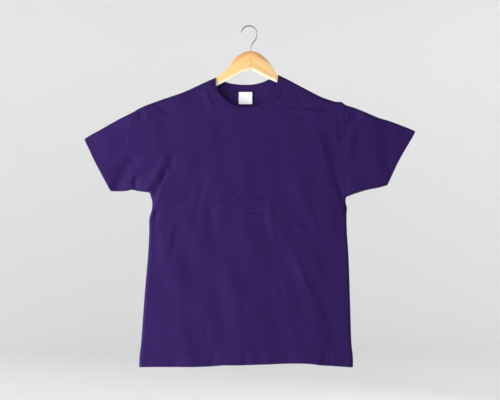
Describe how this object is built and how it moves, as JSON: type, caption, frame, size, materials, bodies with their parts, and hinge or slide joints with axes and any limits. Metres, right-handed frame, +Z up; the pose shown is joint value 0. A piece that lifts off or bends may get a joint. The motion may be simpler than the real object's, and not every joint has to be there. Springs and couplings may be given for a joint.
{
  "type": "crew-neck t-shirt on a wooden hanger",
  "caption": "Plain purple crew-neck t-shirt with short sleeves, hanging flat on a pale wooden hanger with a chrome wire hook; open at neck, cuffs and hem.",
  "frame": {"origin": "inside top of the hook, where a pin or a rail carries it", "axes": "+X to the right as seen from the front, +Y towards the back of the shirt, +Z up"},
  "size_m": [0.8772, 0.0348, 0.9062],
  "materials": {
    "jersey": "matt purple cotton jersey",
    "rib": "matt purple ribbed cotton knit",
    "label": "plain white woven label, bare",
    "wood": "pale wood under clear varnish",
    "wire": "polished chrome wire"
  },
  "bodies": {
    "root": {"front_panel": "jersey", "back_panel": "jersey", "sleeve_left": "jersey", "sleeve_right": "jersey", "neckband": "rib", "neck_label": "label", "hanger_arm_left": "wood", "hanger_arm_right": "wood", "hanger_hook": "wire"}
  },
  "joints": []
}
